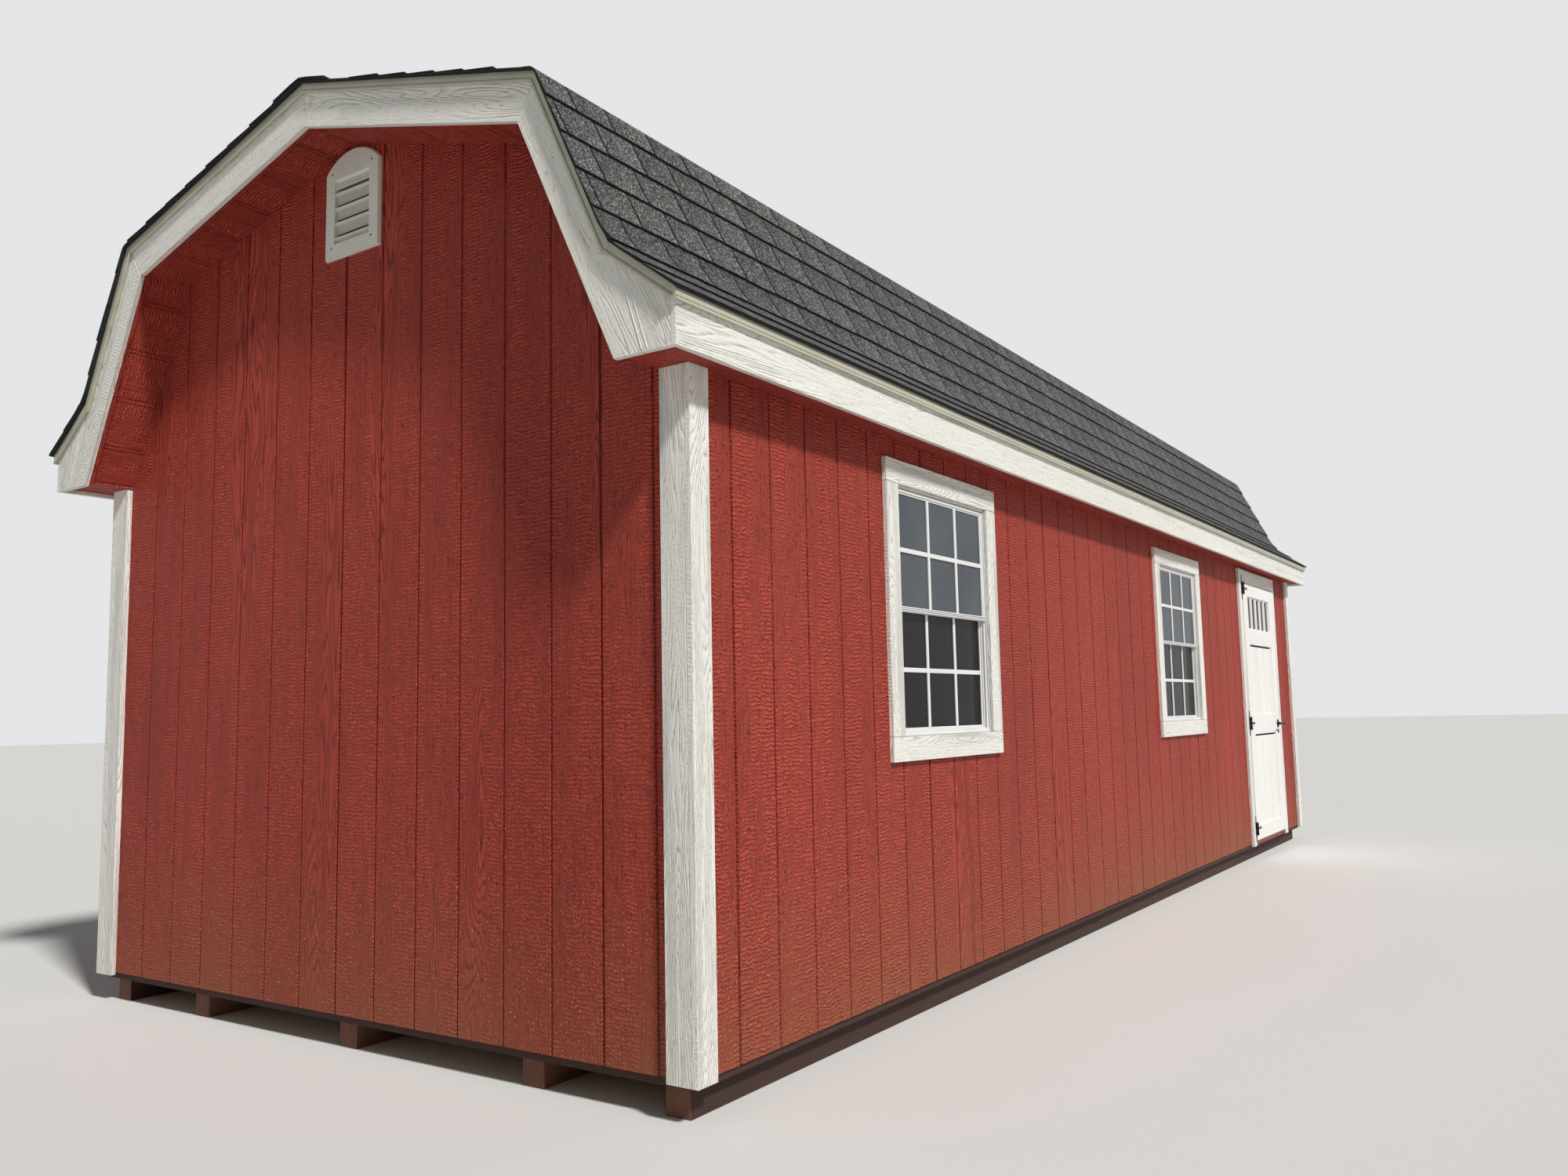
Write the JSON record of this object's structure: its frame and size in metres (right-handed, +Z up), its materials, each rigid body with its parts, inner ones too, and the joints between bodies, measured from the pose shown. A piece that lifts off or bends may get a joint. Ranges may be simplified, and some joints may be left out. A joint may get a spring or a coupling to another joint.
{
  "type": "gambrel garage",
  "caption": "Long, narrow wooden garage with a gambrel roof flared at the eaves, grooved panel walls, board trim, divided windows, a hinged side door and gable vents.",
  "frame": {"origin": "on the ground under the middle of the building", "axes": "+Z up; +Y from the near gable to the far gable, along the ridge; +X towards the wall with the side door"},
  "size_m": [3.34, 8.391, 3.3366],
  "materials": {
    "siding": "red painted grooved panel",
    "trim": "white painted, wood grain",
    "skid": "brown stained",
    "timber": "bare sawn timber",
    "shingle": "mineral granules, charcoal",
    "drip": "satin cream",
    "window_white": "satin white",
    "glass": "clear",
    "vent": "matt white",
    "black_metal": "textured black",
    "threshold": "mill finish"
  },
  "bodies": {
    "garage": {"skids": "skid", "floor_planks": "timber", "left_wall_siding": "siding", "right_wall_siding": "siding", "right_wall_end_siding": "siding", "siding_over_door": "siding", "near_gable_siding": "siding", "far_gable_siding": "siding", "corner_boards": "trim", "wall_studs": "timber", "wall_plates": "timber", "wall_headers": "timber", "gable_studs": "timber", "rafters": "timber", "roof_deck": "timber", "roof_shingles": "shingle", "ridge_cap": "shingle", "drip_edges": "drip", "rake_boards": "trim", "eave_fascias": "trim", "eave_soffits": "siding", "gable_soffits": "siding", "window_trim": "trim", "window_frames": "window_white", "upper_sashes": "window_white", "lower_sashes": "window_white", "window_glass": "glass", "gable_vents": "vent", "vent_slats": "vent", "door_casing": "trim", "door_jamb": "timber", "door_sill": "siding", "door_threshold": "threshold", "hinge_plates": "black_metal", "vehicle_door": "trim", "vehicle_door_casing": "trim"},
    "service_door": {"door_frame": "trim", "door_panels": "trim", "door_glass": "glass", "hinge_straps": "black_metal", "door_roses": "black_metal", "door_lock": "black_metal"},
    "lever": {"door_lever": "black_metal"}
  },
  "joints": [
    {"name": "service_door_hinge", "type": "hinge", "parent": "garage", "child": "service_door", "pos_m": [1.553, 2.42, 1.05], "axis": [0, 0, -1], "range_deg": [0, 165]},
    {"name": "lever_turn", "type": "hinge", "parent": "service_door", "child": "lever", "pos_m": [1.546, 3.296, 0.94], "axis": [1, 0, 0], "range_deg": [0, 40], "stiffness_Nm_per_rad": 0.6}
  ]
}
